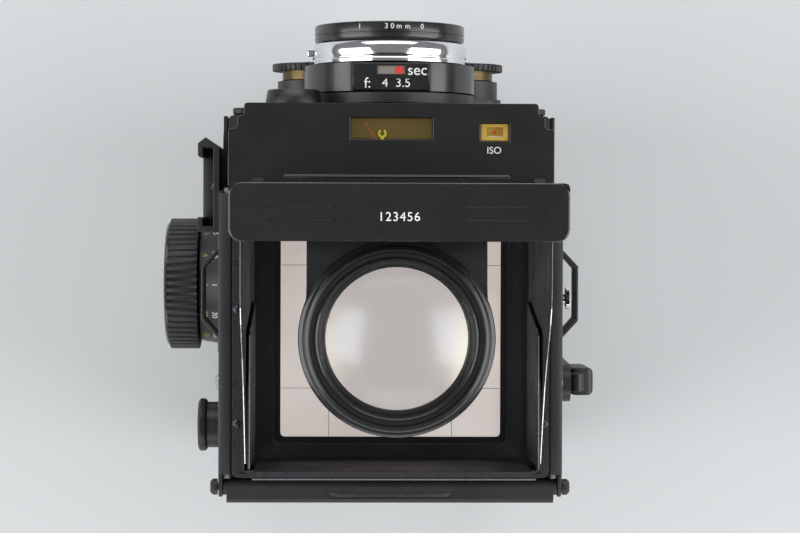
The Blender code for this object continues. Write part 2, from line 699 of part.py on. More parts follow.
def fittings():
    y0, y1 = SHOE_Y
    wall = 1.3
    x0 = SIDE_PLATE_OUT + GAP
    x1 = 44.2
    outline = [
        (x0, y0 + 1.6), (x1 - 1.8, y0 - 0.5), (x1, y0 + 0.9), (x1, y0 + wall + 2.6),
        (x1 - 1.1, y0 + wall + 2.6), (x1 - 1.1, y0 + wall + 0.5), (x0 + 1.4, y0 + wall + 0.5),
        (x0 + 1.4, y1 - wall), (x1 - 1.1, y1 - wall), (x1 - 1.1, y1 - wall - 2.1),
        (x1, y1 - wall - 2.1), (x1, y1), (x0, y1),
    ]
    shoe = node("accessory_shoe", prism(outline, "z", 106.0, 125.0), "gloss_black")
    leaf = arc((x0 + 1.2, -17.0), 1.0, 0, 180, 6)
    add(shoe, prism(leaf, "z", 109.0, 123.0))
    for side, name in ((1, "left"), (-1, "right")):
        x0 = side * (SIDE_PLATE_OUT + 0.1)
        x1 = side * 43.5
        sheet = side * 0.6
        hat = [
            (x0, -6.1), (x0 + sheet, -6.1), (x0 + sheet, -2.8), (x1, 1.3), (x1, 13.9),
            (x0 + sheet, 18.1), (x0 + sheet, 21.4), (x0, 21.4), (x0, 17.7),
            (x1 - sheet, 13.3), (x1 - sheet, 1.9), (x0, -2.4),
        ]
        node(f"strap_bracket_{name}", prism(hat, "z", 113.0, 123.0), "steel")
        base = side * (SIDE_PLATE_OUT + GAP)
        dome = [(0, base), (2.0, base), (2.0, base + side * 0.5), (1.3, base + side * 1.1)]
        dome += [(0, base + side * 1.3)]
        node(f"strap_stud_{name}", turned(dome, "x", (28.5, 118.0), 16), "steel")


# Hood


def hood_frame():
    outline = rounded(-HOOD_HALF_W, HOOD_HALF_W, -16.2, 49.0, 1.5, 3)
    base = node("hood_base", prism(outline, "z", 128.9, 135.2), "crinkle_black")
    rim = WELL_HALF_W + 0.7
    add(base, prism(rounded(-rim, rim, -16.2, 47.9, 1.5, 3), "z", 130.0, RIM_TOP))
    add(base, block(-31.5, 31.5, -16.2, -15.1, 132.0, 143.4))
    for side in (1, -1):
        edges = sorted((side * 13.6, side * 26.0))
        add(base, rod(1.3, *edges, "x", LID_HINGE, 16))
        add(base, block(*edges, -16.2, -14.6, 142.0, 144.6))
    add(base, rod(0.6, -15, 15, "x", LID_HINGE, 12))
    cut(
        base,
        block(-WELL_HALF_W, WELL_HALF_W, -13.0, 47.1, WELL_FLOOR, 141.0),
        prism(rounded(-26.6, 26.6, SCREEN_Y - 26.6, SCREEN_Y + 26.6, 1.5), "z", 120, 140),
    )
    return base


def hood_lid():
    y, z = LID_HINGE
    back = LID_FRONT + LID_T
    outline = rounded(-LID_HALF_W, LID_HALF_W, LID_FRONT, LIP_REAR, 2.4, 4)
    # A pan with a deep lip at its free end and shallow flanges down its sides
    lid = node(
        "hood_lid",
        block(
            -LID_HALF_W, LID_HALF_W, LID_FRONT, -13.9, 147.0, LID_TOP - 0.5,
            bevel=0.9, along="z", segments=2,
        ),
        "gloss_black",
        pivot=(0, y, z),
    )
    cut(lid, block(-LID_HALF_W + 0.8, LID_HALF_W - 0.8, back, -10, 140, LID_TOP - 0.3))
    lip = prism(outline, "z", LID_TOP - 1.2, LID_TOP)
    rims = [e for e in lip.edges if min(v.co.z for v in e.verts) > LID_TOP - 0.1]
    bmesh.ops.bevel(lip, geom=rims, offset=0.5, segments=2, profile=0.5, affect="EDGES")
    add(lid, lip)
    # The field that is pressed forward round the finder's flap
    field = [(-28.85, 152), (-28.85, 201), (-26.6, 203.5), (26.6, 203.5), (28.85, 201), (28.85, 152)]
    add(lid, prism(field, "y", LID_FRONT - 1.0, back - 0.2))
    cut(lid, prism([(-26.0, 153.5), (-26.0, 200.5), (26.0, 200.5), (26.0, 153.5)], "y", back - 0.9, -10))
    # Knuckle between the hood's own knuckles
    add(
        lid,
        block(-13.2, 13.2, LID_FRONT, back, 144.4, 148.0),
        block(-13.2, 13.2, back - 0.4, y, 145.2, 146.3),
        rod(1.3, -13.2, 13.2, "x", LID_HINGE, 16),
    )
    cut(lid, rod(0.9, -14, 14, "x", LID_HINGE, 16))
    cut(lid, block(-23.6, 23.6, -20, -10, 155.7, 184.2))
    # Lugs and pin of the magnifier
    py, pz = MAGNIFIER_PIVOT
    for side in (1, -1):
        edges = sorted((side * 19.0, side * 20.4))
        add(lid, block(*edges, back - 0.9, py + 1.3, pz - 1.6, pz + 1.6))
    add(lid, rod(0.7, -19.6, 19.6, "x", MAGNIFIER_PIVOT, 12))
    # Grip grooves on the lip
    for side in (1, -1):
        for y in (-11.6, -9.0):
            edges = sorted((side * 12.5, side * 25.5))
            cut(lid, prism(rounded(*edges, y - 0.35, y + 0.35, 0.3, 2), "z", LID_TOP - 0.3, LID_TOP + 1))
    return lid


def finder_flap():
    y, z = FLAP_PIVOT
    flap = node(
        "finder_flap",
        block(-23.25, 23.25, LID_FRONT - 2.1, LID_FRONT - 1.2, 156.1, z + 0.6, bevel=0.3),
        "gloss_black",
        pivot=(0, y, z),
    )
    rim = block(-22.6, 22.6, LID_FRONT - 1.6, LID_FRONT + 0.3, 157.0, z + 0.3)
    hollow = block(-21.8, 21.8, LID_FRONT - 1.2, LID_FRONT + 2, 157.8, z - 0.8)
    add(flap, rim)
    cut(flap, hollow)
    return flap


def side_panel(side, name):
    """A side of the hood: an outer leaf that slopes down to the rear, and an inner leaf behind."""
    z = SIDE_PIVOT_Z[side]
    front_top = 185.0
    outer = [(-12.7, z + 0.9), (-12.7, z + 12.0), (-5.6, front_top), (5.0, front_top)]
    outer += [(9.0, 183.8), (12.5, 181.4), (16.0, 178.0), (20.0, 173.8), (26.0, 168.6), (34.0, 163.5)]
    outer += [(43.4, 158.5), (43.4, z + 0.9)]
    inner = [(9.0, z + 0.9), (13.4, 161.0), (13.8, 166.5), (15.2, 168.6), (43.4, 170.0), (43.4, z + 0.9)]
    leaf = node(
        name,
        prism(outer, "x", *sorted((side * 31.3, side * 32.0))),
        "gloss_black",
        pivot=(side * SIDE_PIVOT_X, 0, z),
    )
    add(
        leaf,
        prism(inner, "x", *sorted((side * 30.4, side * 30.9))),
        block(*sorted((side * 30.4, side * 31.6)), 10.5, 42.5, z + 0.9, z + 2.0),
    )
    return leaf


def rear_panel():
    y, z = REAR_PIVOT
    outer = 45.75
    top = 170.0
    panel = node(
        "hood_rear_panel",
        block(-30.0, 30.0, outer - 0.8, outer, z - 0.4, top),
        "gloss_black",
        pivot=(0, y, z),
    )
    shelf = [(-30.0, 45.0), (-30.0, 44.6), (-29.3, 43.9), (29.3, 43.9), (30.0, 44.6), (30.0, 45.0)]
    add(panel, prism(shelf, "z", top - 0.7, top))
    # Peep window
    cut(panel, block(-5.0, 5.0, 40, 50, 160.5, 165.5))
    return panel


def magnifier():
    py, pz = MAGNIFIER_PIVOT
    ring = [
        (14.6, 188.2), (16.0, 187.6), (19.2, 187.6), (MAGNIFIER_R, 188.4), (MAGNIFIER_R, 190.6),
        (18.6, 191.7), (18.1, 192.3), (17.4, 191.6), (15.4, 192.0), (14.6, 191.4),
    ]
    plate = node("magnifier_plate", turned(ring, "z", (0, MAGNIFIER_Y), 32), "gloss_black")
    shift = Vector((0, py, pz)) * MM
    for v in plate.data.vertices:
        v.co -= shift
    plate.location = shift
    neck = [(-18.3, py + 0.6), (18.3, py + 0.6), (18.3, 9.0), (16.6, 11.0), (-16.6, 11.0), (-18.3, 9.0)]
    add(
        plate,
        prism(neck, "z", pz - 0.4, pz + 0.6),
        rod(1.5, -18.3, 18.3, "x", MAGNIFIER_PIVOT, 16),
    )
    cut(
        plate,
        rod(1.0, -19, 19, "x", MAGNIFIER_PIVOT, 12),
        rod(14.6, 180, 200, "z", (0, MAGNIFIER_Y), 32),
    )
    emboss = [(-9.8, -6.8), (9.8, -6.8), (8.6, -4.6), (-8.6, -4.6)]
    add(plate, prism(emboss, "z", pz, pz + 1.1))
    lens = [
        (0, 187.4), (7.0, 187.7), (12.0, 188.5), (14.3, 189.2), (14.3, 190.4), (12.0, 191.3),
        (7.0, 192.1), (0, 192.4),
    ]
    node("magnifier_lens", turned(lens, "z", (0, MAGNIFIER_Y), 24), "glass")


def main():
    clear_scene()
    shell()
    optics_inside()
    meter()
    lens_standard()
    release()
    focusing()
    winding()
    film_spools()
    film_door()
    fittings()
    hood_frame()
    hood_lid()
    finder_flap()
    side_panel(1, "hood_side_left")
    side_panel(-1, "hood_side_right")
    rear_panel()
    magnifier()


main()
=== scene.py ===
"""Looks for a twin lens reflex camera with its hood open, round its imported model.

Sizes are in millimetres up to the point where a mesh is made, which is in metres in the model's frame.
"""

import math

import bmesh
import bpy
from mathutils import Matrix, Vector


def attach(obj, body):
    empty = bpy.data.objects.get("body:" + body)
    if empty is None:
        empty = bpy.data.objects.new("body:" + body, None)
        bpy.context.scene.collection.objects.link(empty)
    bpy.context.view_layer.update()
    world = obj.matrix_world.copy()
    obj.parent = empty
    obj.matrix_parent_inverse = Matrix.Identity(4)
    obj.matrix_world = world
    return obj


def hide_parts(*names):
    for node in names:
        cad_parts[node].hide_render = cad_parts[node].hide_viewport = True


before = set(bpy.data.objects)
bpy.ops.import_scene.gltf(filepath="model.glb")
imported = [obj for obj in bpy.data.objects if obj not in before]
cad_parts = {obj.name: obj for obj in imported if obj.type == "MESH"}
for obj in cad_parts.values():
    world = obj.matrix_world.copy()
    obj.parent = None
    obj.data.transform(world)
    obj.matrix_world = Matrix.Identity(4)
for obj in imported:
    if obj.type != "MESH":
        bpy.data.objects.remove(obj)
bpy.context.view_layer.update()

MM = 0.001
VIEWING_Z = 107.0
TAKING_Z = 64.0
SHOULDER_Z = 134.0
LIP_TOP = 208.0
SCREEN_Y = 15.04
SCREEN_TOP = 130.3
WHEEL_X = 19.0
WHEEL_Z = 85.5
READOUT_TOP = 127.1
CELL_AT = (22.3, 123.6)
SIDE_PIVOT_Z = {1: 135.7, -1: 137.9}
SIDE_PIVOT_X = 31.65
DOOR_HINGE = (51.5, 130.4)
MAGNIFIER_PIVOT = (-12.7, 189.0)
MAGNIFIER_Y = 14.9
MAGNIFIER_GLASS_R = 14.3
VIEWING_GLASS_R = 12.1
TAKING_GLASS_R = 11.3
FOCUS_AXIS = (6.8, 69.0)
CRANK_AXIS = (30.5, 62.0)
SPOOLS = (("upper", (39.3, 107.5)), ("lower", (-4.0, 18.5)))
ROUND = 96

# Shading -------------------------------------------------------------------------------------


class Shade:
    """A material's node tree, with short ways to add what this model needs."""

    def __init__(self, name, color, roughness, metallic=0.0):
        self.material = bpy.data.materials.new(name)
        self.material.use_nodes = True
        self.tree = self.material.node_tree
        self.shader = self.tree.nodes["Principled BSDF"]
        self.color = color
        self.set("Base Color", (*color, 1.0))
        self.set("Roughness", roughness)
        self.set("Metallic", metallic)
        self.normal = None

    def set(self, socket, value):
        self.shader.inputs[socket].default_value = value
        return self

    def new(self, kind, **settings):
        made = self.tree.nodes.new(kind)
        for key, value in settings.items():
            setattr(made, key, value)
        return made

    def link(self, source, target):
        self.tree.links.new(source, target)

    def place(self, stretch=(1.0, 1.0, 1.0)):
        """Object coordinates, which are the model's own metres."""
        coordinates = self.new("ShaderNodeTexCoord")
        mapping = self.new("ShaderNodeMapping")
        mapping.inputs["Scale"].default_value = stretch
        self.link(coordinates.outputs["Object"], mapping.inputs["Vector"])
        return mapping.outputs["Vector"]

    def noise(self, scale, detail=3.0, stretch=(1.0, 1.0, 1.0), rough=0.5):
        texture = self.new("ShaderNodeTexNoise")
        texture.inputs["Scale"].default_value = scale
        texture.inputs["Detail"].default_value = detail
        texture.inputs["Roughness"].default_value = rough
        self.link(self.place(stretch), texture.inputs["Vector"])
        return texture.outputs["Fac"]

    def cells(self, scale, feature="F1", stretch=(1.0, 1.0, 1.0)):
        texture = self.new("ShaderNodeTexVoronoi", feature=feature)
        texture.inputs["Scale"].default_value = scale
        self.link(self.place(stretch), texture.inputs["Vector"])
        return texture.outputs["Distance"]

    def ramp(self, value, stops):
        """Maps a value through (position, colour or grey) stops."""
        made = self.new("ShaderNodeValToRGB")
        elements = made.color_ramp.elements
        while len(elements) < len(stops):
            elements.new(0.5)
        for element, (position, shade) in zip(elements, stops):
            element.position = position
            level = (shade, shade, shade) if isinstance(shade, float) else shade
            element.color = (*level, 1.0)
        self.link(value, made.inputs["Fac"])
        return made.outputs["Color"]

    def vary(self, socket, value, stops):
        self.link(self.ramp(value, stops), self.shader.inputs[socket])
        return self

    def bump(self, height, distance, strength=1.0):
        """Adds a height to the surface's relief, over what is there already."""
        made = self.new("ShaderNodeBump")
        made.inputs["Distance"].default_value = distance
        made.inputs["Strength"].default_value = strength
        self.link(height, made.inputs["Height"])
        if self.normal is not None:
            self.link(self.normal, made.inputs["Normal"])
        self.normal = made.outputs["Normal"]
        self.link(self.normal, self.shader.inputs["Normal"])
        return self


def paint(name, color, low, high, grain, relief, coat=0.0):
    """Stoved paint: an uneven gloss, a fine grain and a few dust specks."""
    shade = Shade(name, color, (low + high) / 2)
    shade.vary("Roughness", shade.noise(90.0, 4.0), [(0.3, low), (0.7, high)])
    lighter = tuple(c * 1.5 + 0.001 for c in color)
    dust = tuple(c + 0.05 for c in color)
    specks = shade.noise(2600.0, 1.0)
    shade.vary("Base Color", specks, [(0.0, color), (0.6, lighter), (0.755, lighter), (0.78, dust)])
    shade.bump(shade.noise(grain, 3.0), relief)
    if coat:
        shade.set("Coat Weight", coat).set("Coat Roughness", 0.08)
    return shade.material


def crinkle(name, color):
    """Wrinkle-finish paint, with a ridged net of small folds."""
    shade = Shade(name, color, 0.55)
    folds = shade.cells(1500.0, "DISTANCE_TO_EDGE")
    # Painted shade and highlight: the creases between the folds are painted darker and the folds' raised tops
    # lighter.
    shade.vary("Base Color", folds, [(0.0, color), (0.5, tuple(c * 2.2 + 0.004 for c in color))])
    shade.vary("Roughness", shade.noise(700.0, 4.0), [(0.3, 0.38), (0.7, 0.62)])
    shade.bump(folds, 0.00012, 0.8)
    shade.bump(shade.noise(2800.0, 5.0, rough=0.7), 0.00008, 0.7)
    return shade.material


def hide(name, color):
    """Pebbled leatherette: rounded cells with creases between them."""
    shade = Shade(name, color, 0.6)
    cells = shade.cells(780.0, "SMOOTH_F1", (1.0, 1.0, 1.25))
    # Painted shade and highlight: the creases between the pebbles are painted darker and the pebbles' tops
    # lighter.
    painted_crease_shade = tuple(c * 0.5 for c in color)
    shade.vary("Base Color", cells, [(0.25, tuple(c * 1.5 for c in color)), (0.75, painted_crease_shade)])
    shade.vary("Roughness", shade.noise(320.0, 3.0), [(0.3, 0.48), (0.7, 0.72)])
    shade.bump(shade.ramp(cells, [(0.15, 1.0), (0.8, 0.0)]), 0.00022, 0.8)
    shade.bump(shade.noise(4200.0, 4.0), 0.00004, 0.5)
    return shade.material


def metal(name, color, low, high, stretch=(1.0, 1.0, 1.0), grain=900.0, relief=0.000006):
    """Bare or plated metal, with a rub that runs the way the stretch says."""
    shade = Shade(name, color, (low + high) / 2, 1.0)
    rub = shade.noise(grain, 5.0, stretch)
    shade.vary("Roughness", rub, [(0.3, low), (0.7, high)])
    shade.vary("Base Color", shade.noise(140.0, 3.0), [(0.3, tuple(c * 0.9 for c in color)), (0.7, color)])
    shade.bump(rub, relief)
    return shade.material


def lens_glass(name, tint, film, ior=1.5, low=0.0, high=0.05):
    """Coated glass: clear, with a thin film that tints what it mirrors."""
    shade = Shade(name, tint, 0.02)
    shade.set("Transmission Weight", 1.0).set("IOR", ior)
    shade.set("Thin Film Thickness", film).set("Thin Film IOR", 1.8)
    shade.vary("Roughness", shade.noise(60.0, 4.0), [(0.35, low), (0.8, high)])
    return shade.material


def clear_window(name, color, alpha):
    """A thin pane that lets light straight through."""
    shade = Shade(name, color, 0.06)
    shade.set("Alpha", alpha).set("Coat Weight", 0.5).set("Coat Roughness", 0.04)
    shade.vary("Roughness", shade.noise(200.0, 3.0), [(0.3, 0.03), (0.7, 0.12)])
    return shade.material


def ink(name, color, painted_glow=0.0):
    """Filled engraving or printing, with a painted glow (emission) if asked."""
    shade = Shade(name, color, 0.55)
    shade.vary("Base Color", shade.noise(1800.0, 3.0), [(0.3, tuple(c * 0.82 for c in color)), (0.7, color)])
    # Painted glow: emission in the ink's own colour, though the ink is no lamp.
    if painted_glow:
        shade.set("Emission Color", (*color, 1.0)).set("Emission Strength", painted_glow)
    return shade.material


def ground_screen():
    """A matt focusing screen: a fine grain, the rings of its field lens, and a painted glow (emission) that
    stands in for the light that reaches it.
    """
    shade = Shade("screen_ground", (0.74, 0.66, 0.62), 0.4)
    centre = shade.new("ShaderNodeMapping")
    centre.inputs["Location"].default_value = (0.0, -SCREEN_Y * MM, 0.0)
    coordinates = shade.new("ShaderNodeTexCoord")
    shade.link(coordinates.outputs["Object"], centre.inputs["Vector"])
    rings = shade.new("ShaderNodeTexWave", wave_type="RINGS", rings_direction="Z")
    rings.inputs["Scale"].default_value = 700.0
    shade.link(centre.outputs["Vector"], rings.inputs["Vector"])
    patches = shade.noise(26.0, 3.0)
    field = [(0.3, (0.62, 0.53, 0.49)), (0.5, (0.74, 0.66, 0.62)), (0.7, (0.84, 0.78, 0.74))]
    shade.vary("Base Color", patches, field)
    # Painted glow: the emission, in the same uneven tone as the colour, stands in for the light that reaches
    # the screen.
    shade.vary("Emission Color", patches, field)
    shade.set("Emission Strength", 0.5)
    shade.bump(rings.outputs["Fac"], 0.00001, 0.6)
    shade.bump(shade.noise(5200.0, 2.0), 0.00001, 0.5)
    return shade.material


GLOSS = paint("gloss_black_paint", (0.0065, 0.0065, 0.007), 0.2, 0.34, 1300.0, 0.000006, 0.25)
SATIN = paint("satin_black_paint", (0.011, 0.011, 0.012), 0.36, 0.5, 2600.0, 0.000012)
MATT = paint("matt_black_paint", (0.003, 0.003, 0.0033), 0.6, 0.8, 3400.0, 0.00002)
# Painted sheen: the casting and the shoulder strips get a lighter, bluish black than the other paints, for
# the grey band of sheen along the shoulders.
SHEEN = paint("shoulder_painted_sheen", (0.02, 0.021, 0.024), 0.3, 0.42, 2200.0, 0.000008, 0.15)
CRINKLE = crinkle("crinkle_paint", (0.007, 0.007, 0.0075))
LEATHER = hide("leatherette_black", (0.013, 0.013, 0.014))
CHROME = metal("chrome_plate", (0.82, 0.82, 0.84), 0.05, 0.16)
STEEL = metal("steel_brushed", (0.5, 0.5, 0.51), 0.24, 0.42, (1.0, 14.0, 1.0))
BARE = metal("bare_edge", (0.78, 0.78, 0.79), 0.2, 0.34)
GREY = metal("grey_anodised", (0.09, 0.09, 0.1), 0.34, 0.48)
BRASSY = metal("golden_neck", (0.12, 0.09, 0.045), 0.3, 0.45)
DARK_METAL = metal("dark_metal", (0.07, 0.07, 0.075), 0.34, 0.48)
VIEW_GLASS = lens_glass("viewing_lens_glass", (0.93, 0.93, 0.98), 420.0)
TAKE_GLASS = lens_glass("taking_lens_glass", (0.95, 0.95, 0.9), 300.0)
MAG_GLASS = lens_glass("magnifier_glass", (0.97, 0.97, 0.97), 90.0, low=0.16, high=0.24)
FILTER = clear_window("filter_tinted_glass", (0.18, 0.15, 0.22), 0.35)
PANE = clear_window("meter_pane", (0.2, 0.15, 0.04), 0.25)
# Painted glow: the amber window, the meter's field, the red enamel and the yellow pointer are given emission
# by their last number.
AMBER = ink("amber_plastic", (0.48, 0.31, 0.05), 0.12)
OLIVE = ink("meter_field", (0.085, 0.05, 0.01), 0.35)
RED = ink("red_enamel", (0.55, 0.04, 0.025), 0.1)
YELLOW = ink("yellow_enamel", (0.85, 0.72, 0.02), 0.5)
WHITE = ink("white_fill", (0.82, 0.82, 0.82))
OCHRE = ink("ochre_fill", (0.62, 0.42, 0.12))
WINDOW_GREY = ink("readout_field", (0.22, 0.19, 0.17))
SILVER = metal("mirror_silver", (0.9, 0.9, 0.9), 0.01, 0.04)
SCREEN = ground_screen()

# Solids, as in the model's source, but finer ----------------------------------------------------


def turned(profile, axis, centre, segments=ROUND):
    """A closed profile of (radius, along) points turned round an axis through centre."""
    place = {
        "x": lambda a, b, h: (h, centre[0] + a, centre[1] + b),
        "y": lambda a, b, h: (centre[0] + a, h, centre[1] + b),
        "z": lambda a, b, h: (centre[0] + a, centre[1] + b, h),
    }[axis]
    bm = bmesh.new()
    rings = []
    for radius, height in profile:
        if radius == 0:
            rings.append([bm.verts.new(place(0, 0, height))])
            continue
        ring = []
        for i in range(segments):
            angle = 2 * math.pi * i / segments
            ring.append(bm.verts.new(place(radius * math.cos(angle), radius * math.sin(angle), height)))
        rings.append(ring)
    for one, two in zip(rings, rings[1:] + rings[:1]):
        if len(one) == 1 and len(two) == 1:
            continue
        for i in range(segments):
            j = (i + 1) % segments
            if len(one) == 1:
                bm.faces.new((one[0], two[i], two[j]))
            elif len(two) == 1:
                bm.faces.new((one[i], one[j], two[0]))
            else:
                bm.faces.new((one[i], one[j], two[j], two[i]))
    bmesh.ops.recalc_face_normals(bm, faces=bm.faces)
    return bm


def prism(outline, axis, low, high, bevel=0.0):
    """An outline extruded along an axis, with its edges bevelled if asked."""
    place = {
        "x": lambda a, b, h: (h, a, b),
        "y": lambda a, b, h: (a, h, b),
        "z": lambda a, b, h: (a, b, h),
    }[axis]
    bm = bmesh.new()
    ends = [[bm.verts.new(place(a, b, height)) for a, b in outline] for height in (low, high)]
    count = len(outline)
    caps = [bm.faces.new(end) for end in ends]
    for i in range(count):
        j = (i + 1) % count
        bm.faces.new((ends[0][i], ends[0][j], ends[1][j], ends[1][i]))
    if bevel:
        rims = list({edge for cap in caps for edge in cap.edges})
        bmesh.ops.bevel(bm, geom=rims, offset=bevel, segments=2, profile=0.5, affect="EDGES")
    bmesh.ops.recalc_face_normals(bm, faces=bm.faces)
    return bm


def block(x0, x1, y0, y1, z0, z1, bevel=0.0):
    bm = bmesh.new()
    bmesh.ops.create_cube(bm, size=1.0)
    bmesh.ops.scale(bm, vec=(x1 - x0, y1 - y0, z1 - z0), verts=bm.verts)
    bmesh.ops.translate(bm, vec=((x0 + x1) / 2, (y0 + y1) / 2, (z0 + z1) / 2), verts=bm.verts)
    if bevel:
        bmesh.ops.bevel(bm, geom=bm.edges, offset=bevel, segments=2, profile=0.5, affect="EDGES")
    return bm


def rod(radius, low, high, axis, centre, segments=32, bevel=0.0):
    hard = [(0, low), (radius, low), (radius, high), (0, high)]
    soft = [(0, low), (radius - bevel, low), (radius, low + bevel)]
    soft += [(radius, high - bevel), (radius - bevel, high), (0, high)]
    return turned(soft if bevel else hard, axis, centre, segments)


def tube(inner, outer, low, high, axis, centre, segments=ROUND):
    return turned([(inner, low), (outer, low), (outer, high), (inner, high)], axis, centre, segments)


def arc(centre, radius, start, end, steps):
    points = []
    for i in range(steps + 1):
        angle = math.radians(start + (end - start) * i / steps)
        points.append((centre[0] + radius * math.cos(angle), centre[1] + radius * math.sin(angle)))
    return points


def toothed(centre, outer, inner, teeth):
    """The outline of a ribbed knob, its ribs rounded."""
    shoulder = outer - 0.12
    rib = ((0.0, shoulder), (0.1, outer), (0.4, outer), (0.5, shoulder), (0.6, inner), (0.9, inner))
    points = []
    for i in range(teeth):
        for part, radius in rib:
            angle = 2 * math.pi * (i + part) / teeth
            points.append((centre[0] + radius * math.cos(angle), centre[1] + radius * math.sin(angle)))
    return points


def piece(name, solids, material, body, stands_for=(), smooth=38.0):
    """One shown object made of one or more solids, on a body of the model."""
    whole = bmesh.new()
    mesh = bpy.data.meshes.new(name)
    for bm in solids if isinstance(solids, list) else [solids]:
        part = bpy.data.meshes.new("part")
        bm.to_mesh(part)
        bm.free()
        whole.from_mesh(part)
        bpy.data.meshes.remove(part)
    bmesh.ops.scale(whole, vec=(MM, MM, MM), verts=whole.verts)
    whole.to_mesh(mesh)
    whole.free()
    mesh.shade_smooth()
    mesh.set_sharp_from_angle(angle=math.radians(smooth))
    mesh.materials.append(material)
    obj = bpy.data.objects.new(name, mesh)
    bpy.context.scene.collection.objects.link(obj)
    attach(obj, body)
    if stands_for:
        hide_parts(*stands_for)
    return obj


def words(name, text, size, turn, material, body, depth=0.06, spacing=1.0):
    """Generic digits or marks as a thin solid. turn places them from the plane z = 0, in millimetres."""
    curve = bpy.data.curves.new(name, "FONT")
    curve.body = text
    curve.size = size
    curve.align_x = "CENTER"
    curve.align_y = "CENTER"
    curve.extrude = depth / 2
    curve.space_character = spacing
    holder = bpy.data.objects.new(name + "_curve", curve)
    bpy.context.scene.collection.objects.link(holder)
    bpy.context.view_layer.update()
    mesh = bpy.data.meshes.new_from_object(holder)
    mesh.name = name
    bpy.data.objects.remove(holder)
    mesh.transform(Matrix.Scale(MM, 4) @ turn)
    mesh.materials.clear()
    mesh.materials.append(material)
    obj = bpy.data.objects.new(name, mesh)
    bpy.context.scene.collection.objects.link(obj)
    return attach(obj, body)


def facing_up(x, y, z):
    """Readable from above by someone who stands behind the camera."""
    return Matrix.Translation((x, y, z)) @ Matrix.Rotation(math.pi, 4, "Z")


# The model's own nodes ------------------------------------------------------------------------

FINISHES = {
    "body_casting": SHEEN, "side_plate_left": SATIN, "side_plate_right": SATIN, "grip_left": LEATHER,
    "grip_right": LEATHER, "hinge_rod": SATIN, "front_plate": LEATHER, "reflex_mirror": SILVER,
    "focusing_screen": SCREEN, "screen_frame": MATT, "nameplate_housing": GLOSS, "meter_window": PANE,
    "film_speed_window": AMBER, "cds_bezel": DARK_METAL, "accessory_shoe": SATIN,
    "strap_bracket_left": GREY, "strap_bracket_right": GREY, "strap_stud_left": STEEL,
    "strap_stud_right": STEEL, "crank_plate": SATIN, "hood_base": CRINKLE, "meter_needle": RED,
    "meter_pointer": YELLOW, "lens_board": SATIN, "lens_shroud": GLOSS, "readout_panel": GLOSS,
    "viewing_barrel": MATT, "viewing_bayonet": CHROME, "viewing_glass": VIEW_GLASS,
    "filter_ring": SATIN, "filter_glass": FILTER, "taking_barrel": MATT, "taking_bayonet": CHROME,
    "taking_glass": TAKE_GLASS, "shutter_wheel": SATIN, "aperture_wheel": SATIN, "timer_lever": CHROME,
    "shutter_release": CHROME, "release_collar": SATIN, "focus_knob": SATIN, "distance_scale": SATIN,
    "crank_arm": SATIN, "crank_handle": SATIN, "film_selector": CHROME, "door_shell": SATIN,
    "door_leather": LEATHER, "pressure_plate": MATT, "tripod_bush": STEEL, "latch_dial": STEEL,
    "film_spool_upper": MATT, "film_spool_lower": MATT, "spool_knob_upper": SATIN,
    "spool_knob_lower": SATIN, "hood_lid": GLOSS, "finder_flap": GLOSS, "magnifier_plate": GLOSS,
    "magnifier_lens": MAG_GLASS, "hood_side_left": MATT, "hood_side_right": MATT,
    "hood_rear_panel": MATT,
}
# Nodes whose edges are rounded a little, with the radius in millimetres
ROUNDED = {
    "body_casting": 0.35, "side_plate_left": 0.2, "side_plate_right": 0.2, "front_plate": 0.25,
    "nameplate_housing": 0.3, "accessory_shoe": 0.15, "strap_bracket_left": 0.12,
    "strap_bracket_right": 0.12, "hood_base": 0.3, "lens_board": 0.3, "lens_shroud": 0.2,
    "readout_panel": 0.05, "door_shell": 0.25, "hood_lid": 0.12, "finder_flap": 0.12, "hood_side_left": 0.1,
    "hood_side_right": 0.1, "hood_rear_panel": 0.1, "latch_dial": 0.2, "crank_handle": 0.2,
    "grip_left": 0.08, "grip_right": 0.08, "door_leather": 0.08, "film_speed_window": 0.08,
}


def dress(name, material):
    """Gives a node its finish, and shades it smooth between its sharp edges."""
    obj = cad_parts[name]
    mesh = obj.data
    mesh.materials.clear()
    mesh.materials.append(material)
    custom = mesh.attributes.get("custom_normal")
    if custom:
        mesh.attributes.remove(custom)
    mesh.polygons.foreach_set("use_smooth", [True] * len(mesh.polygons))
    weld = obj.modifiers.new("weld", "WELD")
    weld.merge_threshold = 2e-6
    flat = obj.modifiers.new("flat", "DECIMATE")
    flat.decimate_type = "DISSOLVE"
    flat.angle_limit = math.radians(0.5)
    if name in ROUNDED:
        bevel = obj.modifiers.new("round", "BEVEL")
        bevel.width = ROUNDED[name] * MM
        bevel.segments = 2
        bevel.limit_method = "ANGLE"
        bevel.angle_limit = math.radians(40)
    split = obj.modifiers.new("sharp", "EDGE_SPLIT")
    split.split_angle = math.radians(36)
    even = obj.modifiers.new("even", "WEIGHTED_NORMAL")
    even.weight = 50
    even.keep_sharp = True


def dress_nodes():
    for name, material in FINISHES.items():
        dress(name, material)


# Lenses ---------------------------------------------------------------------------------------


